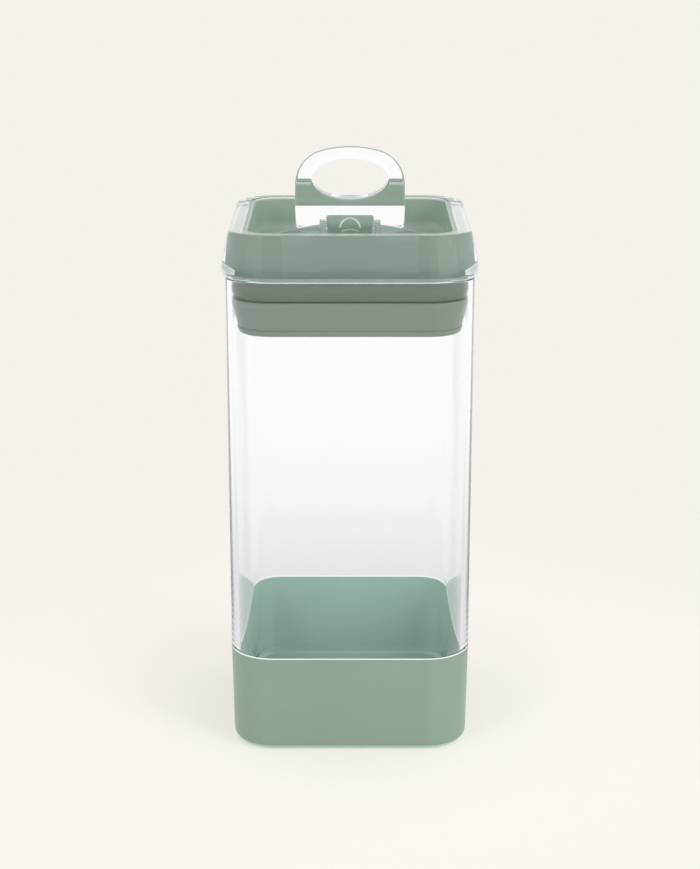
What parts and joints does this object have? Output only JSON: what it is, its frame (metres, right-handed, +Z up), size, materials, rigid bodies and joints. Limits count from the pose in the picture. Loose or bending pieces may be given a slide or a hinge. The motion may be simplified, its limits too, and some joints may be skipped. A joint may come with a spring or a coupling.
{
  "type": "vacuum seal canister",
  "caption": "Square clear food canister in a green base shoe, with a lift-off lid whose flip handle cams up a press plate and squeezes a silicone gasket against the jar wall.",
  "frame": {"origin": "on the table under the middle of the foot", "axes": "+Z up, -Y to the front, to which the handle folds down, +X to the right seen from the front"},
  "size_m": [0.1078, 0.1078, 0.2582],
  "materials": {
    "clear_acrylic": "polished clear acrylic",
    "green_plastic": "moulded sage green plastic, soft gloss",
    "green_silicone": "satin grey green silicone",
    "stainless_steel": "plain stainless screws"
  },
  "bodies": {
    "jar": {"jar": "clear_acrylic", "base_shoe": "green_plastic"},
    "lid_head": {"lid_frame": "clear_acrylic", "lid_tray": "green_plastic", "wear_disc": "clear_acrylic", "gasket": "green_silicone"},
    "plunger": {"pivot_post": "green_plastic", "press_plate": "green_plastic", "plate_cover": "green_plastic", "hinge_pin": "clear_acrylic", "post_screws": "stainless_steel"},
    "handle": {"flip_handle": "clear_acrylic"}
  },
  "joints": [
    {"name": "lid_lift", "type": "slide", "parent": "jar", "child": "lid_head", "axis": [0, 0, 1], "range_m": [0, 0.06]},
    {"name": "plate_lift", "type": "slide", "parent": "lid_head", "child": "plunger", "axis": [0, 0, 1], "range_m": [0, 0.0016], "deforming": ["gasket"]},
    {"name": "handle_flip", "type": "hinge", "parent": "plunger", "child": "handle", "pos_m": [0, 0, 0.224], "axis": [1, 0, 0], "range_deg": [0, 90]}
  ],
  "couplings": [
    {"joint": "handle_flip", "follows": "plate_lift", "rad_per_m": 981.75}
  ]
}
